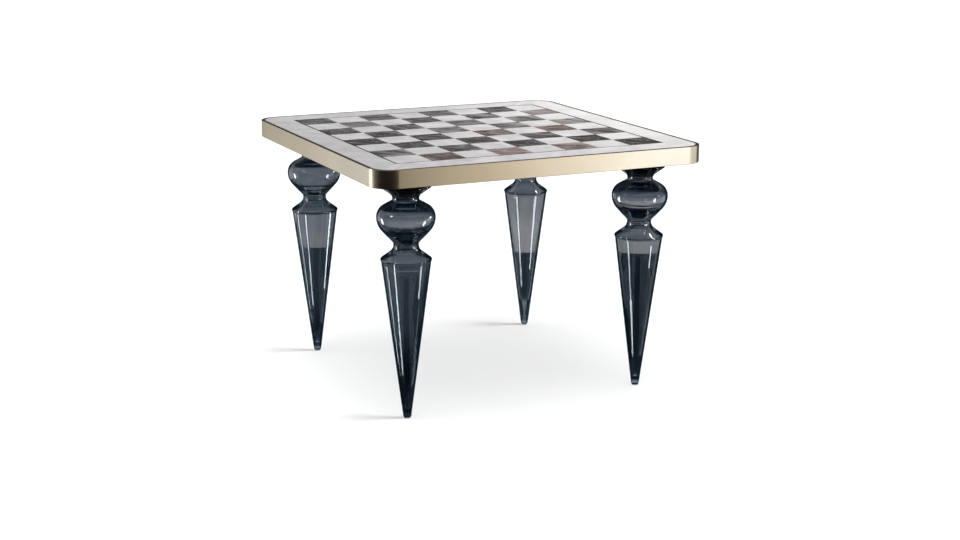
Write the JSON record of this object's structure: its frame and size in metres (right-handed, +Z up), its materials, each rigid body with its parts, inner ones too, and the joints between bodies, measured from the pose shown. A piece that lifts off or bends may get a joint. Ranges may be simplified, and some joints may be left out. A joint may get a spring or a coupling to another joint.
{
  "type": "chess table",
  "caption": "Low square game table with an inlaid marble chessboard in a brass edge band, on turned hollow smoked glass legs.",
  "frame": {"origin": "on the floor under the centre of the square top", "axes": "+Z up; the players sit at the -X and +X edges, so ranks run along Y and are counted along +X"},
  "size_m": [0.6, 0.6, 0.435],
  "materials": {
    "satin_brass": "satin champagne brass",
    "tab_steel": "matt black paint",
    "screw_steel": "zinc plated",
    "core_board": "black stained plywood",
    "adhesive": "cured stone adhesive",
    "joint_filler": "pale fine filler, wiped flush",
    "border_marble": "honed pale marble",
    "inlay_bronze": "dark patinated bronze",
    "light_marble": "honed white marble with faint veins",
    "dark_marble": "honed dark marble, veined grey to plum",
    "smoke_glass": "polished smoke-blue blown glass",
    "cap_metal": "dark satin metal",
    "gasket_rubber": "matt",
    "stud_steel": "zinc plated thread",
    "plate_steel": "black powder coat",
    "glide_plastic": "clear soft plastic"
  },
  "bodies": {
    "root": {"edge_band": "satin_brass", "band_tab_front": "tab_steel", "band_tab_back": "tab_steel", "band_tab_left": "tab_steel", "band_tab_right": "tab_steel", "tab_screws": "screw_steel", "core_panel": "core_board", "adhesive_bed": "adhesive", "tile_joint_filler": "joint_filler", "border_stone_front": "border_marble", "border_stone_back": "border_marble", "border_stone_left": "border_marble", "border_stone_right": "border_marble", "inlay_line_front": "inlay_bronze", "inlay_line_back": "inlay_bronze", "inlay_line_left": "inlay_bronze", "inlay_line_right": "inlay_bronze", "light_tiles_rank_1": "light_marble", "dark_tiles_rank_1": "dark_marble", "light_tiles_rank_2": "light_marble", "dark_tiles_rank_2": "dark_marble", "light_tiles_rank_3": "light_marble", "dark_tiles_rank_3": "dark_marble", "light_tiles_rank_4": "light_marble", "dark_tiles_rank_4": "dark_marble", "light_tiles_rank_5": "light_marble", "dark_tiles_rank_5": "dark_marble", "light_tiles_rank_6": "light_marble", "dark_tiles_rank_6": "dark_marble", "light_tiles_rank_7": "light_marble", "dark_tiles_rank_7": "dark_marble", "light_tiles_rank_8": "light_marble", "dark_tiles_rank_8": "dark_marble", "glass_leg_front_left": "smoke_glass", "leg_cap_front_left": "cap_metal", "leg_gasket_front_left": "gasket_rubber", "leg_stud_front_left": "stud_steel", "mounting_plate_front_left": "plate_steel", "foot_glide_front_left": "glide_plastic", "glass_leg_front_right": "smoke_glass", "leg_cap_front_right": "cap_metal", "leg_gasket_front_right": "gasket_rubber", "leg_stud_front_right": "stud_steel", "mounting_plate_front_right": "plate_steel", "foot_glide_front_right": "glide_plastic", "glass_leg_back_left": "smoke_glass", "leg_cap_back_left": "cap_metal", "leg_gasket_back_left": "gasket_rubber", "leg_stud_back_left": "stud_steel", "mounting_plate_back_left": "plate_steel", "foot_glide_back_left": "glide_plastic", "glass_leg_back_right": "smoke_glass", "leg_cap_back_right": "cap_metal", "leg_gasket_back_right": "gasket_rubber", "leg_stud_back_right": "stud_steel", "mounting_plate_back_right": "plate_steel", "foot_glide_back_right": "glide_plastic", "plate_screws": "screw_steel"}
  },
  "joints": []
}
